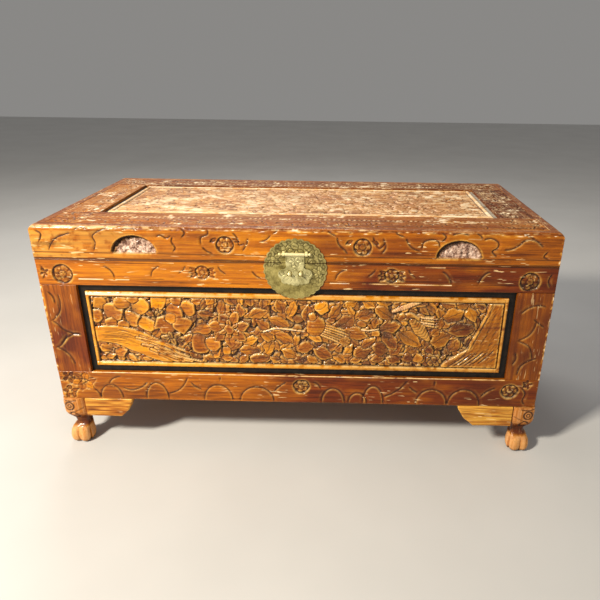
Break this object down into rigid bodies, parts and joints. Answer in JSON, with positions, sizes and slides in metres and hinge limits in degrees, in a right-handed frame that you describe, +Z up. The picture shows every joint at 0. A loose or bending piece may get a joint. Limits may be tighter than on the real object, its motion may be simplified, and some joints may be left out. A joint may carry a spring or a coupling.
{
  "type": "wooden chest",
  "caption": "Carved frame-and-panel wooden chest on paw feet, with a hinged lid, a round brass lock plate with a swinging hasp, and a sliding lid stay.",
  "frame": {"origin": "on the floor, under the centre of the chest's overall width and depth", "axes": "+Z up; +X along the length, to the right as the front is faced; the front faces -Y"},
  "size_m": [0.929, 0.4598, 0.454],
  "materials": {
    "frame_wood": "varnished, incised, worn",
    "panel_wood": "varnished, carved in relief",
    "top_wood": "worn varnish, dusty carving",
    "ebonised": "black lacquer, chipped",
    "plain_wood": "sawn and planed, unpolished",
    "foot_wood": "varnished, carved, worn",
    "lock_brass": "engraved, tarnished",
    "hinge_brass": "rolled, tarnished"
  },
  "bodies": {
    "body": {"front_bottom_rail": "frame_wood", "front_top_rail": "frame_wood", "front_left_stile": "frame_wood", "front_right_stile": "frame_wood", "left_bottom_rail": "frame_wood", "left_top_rail": "frame_wood", "left_front_stile": "frame_wood", "left_rear_stile": "frame_wood", "right_bottom_rail": "frame_wood", "right_top_rail": "frame_wood", "right_front_stile": "frame_wood", "right_rear_stile": "frame_wood", "front_panel": "panel_wood", "left_panel": "panel_wood", "right_panel": "panel_wood", "front_moulding": "ebonised", "left_moulding": "ebonised", "right_moulding": "ebonised", "back_lower_board": "plain_wood", "back_upper_board": "plain_wood", "bottom_board": "plain_wood", "front_left_leg": "foot_wood", "front_right_leg": "foot_wood", "rear_left_leg": "foot_wood", "rear_right_leg": "foot_wood", "front_left_bracket": "foot_wood", "front_right_bracket": "foot_wood", "left_front_bracket": "foot_wood", "left_rear_bracket": "foot_wood", "right_front_bracket": "foot_wood", "right_rear_bracket": "foot_wood", "lock_lower_plate": "lock_brass", "staple_left": "lock_brass", "staple_right": "lock_brass", "left_hinge_body_leaf": "hinge_brass", "left_hinge_pin": "hinge_brass", "right_hinge_body_leaf": "hinge_brass", "right_hinge_pin": "hinge_brass", "stay_guide_stud": "hinge_brass"},
    "lid": {"lid_front_rail": "frame_wood", "lid_back_rail": "frame_wood", "lid_left_rail": "frame_wood", "lid_right_rail": "frame_wood", "top_front_board": "top_wood", "top_back_board": "top_wood", "top_left_board": "top_wood", "top_right_board": "top_wood", "top_panel": "top_wood", "top_moulding": "ebonised", "lock_upper_plate": "lock_brass", "hasp_lug_left": "lock_brass", "hasp_lug_right": "lock_brass", "hasp_pin": "lock_brass", "left_hinge_lid_leaf": "hinge_brass", "right_hinge_lid_leaf": "hinge_brass", "stay_pivot_stud": "hinge_brass"},
    "hasp": {"hasp": "lock_brass"},
    "stay": {"stay_arm": "hinge_brass"}
  },
  "joints": [
    {"name": "lid_hinge", "type": "hinge", "parent": "body", "child": "lid", "pos_m": [0, 0.22645, 0.394], "axis": [-1, 0, 0], "range_deg": [0, 95]},
    {"name": "hasp_hinge", "type": "hinge", "parent": "lid", "child": "hasp", "pos_m": [0, -0.22335, 0.411], "axis": [-1, 0, 0], "range_deg": [0, 120]},
    {"name": "stay_pivot", "type": "hinge", "parent": "lid", "child": "stay", "pos_m": [0.4382, 0.07973, 0.42519], "axis": [-1, 0, 0], "range_deg": [-47.5, 0]}
  ],
  "couplings": [
    {"joint": "stay_pivot", "follows": "lid_hinge", "ratio": -0.5}
  ]
}
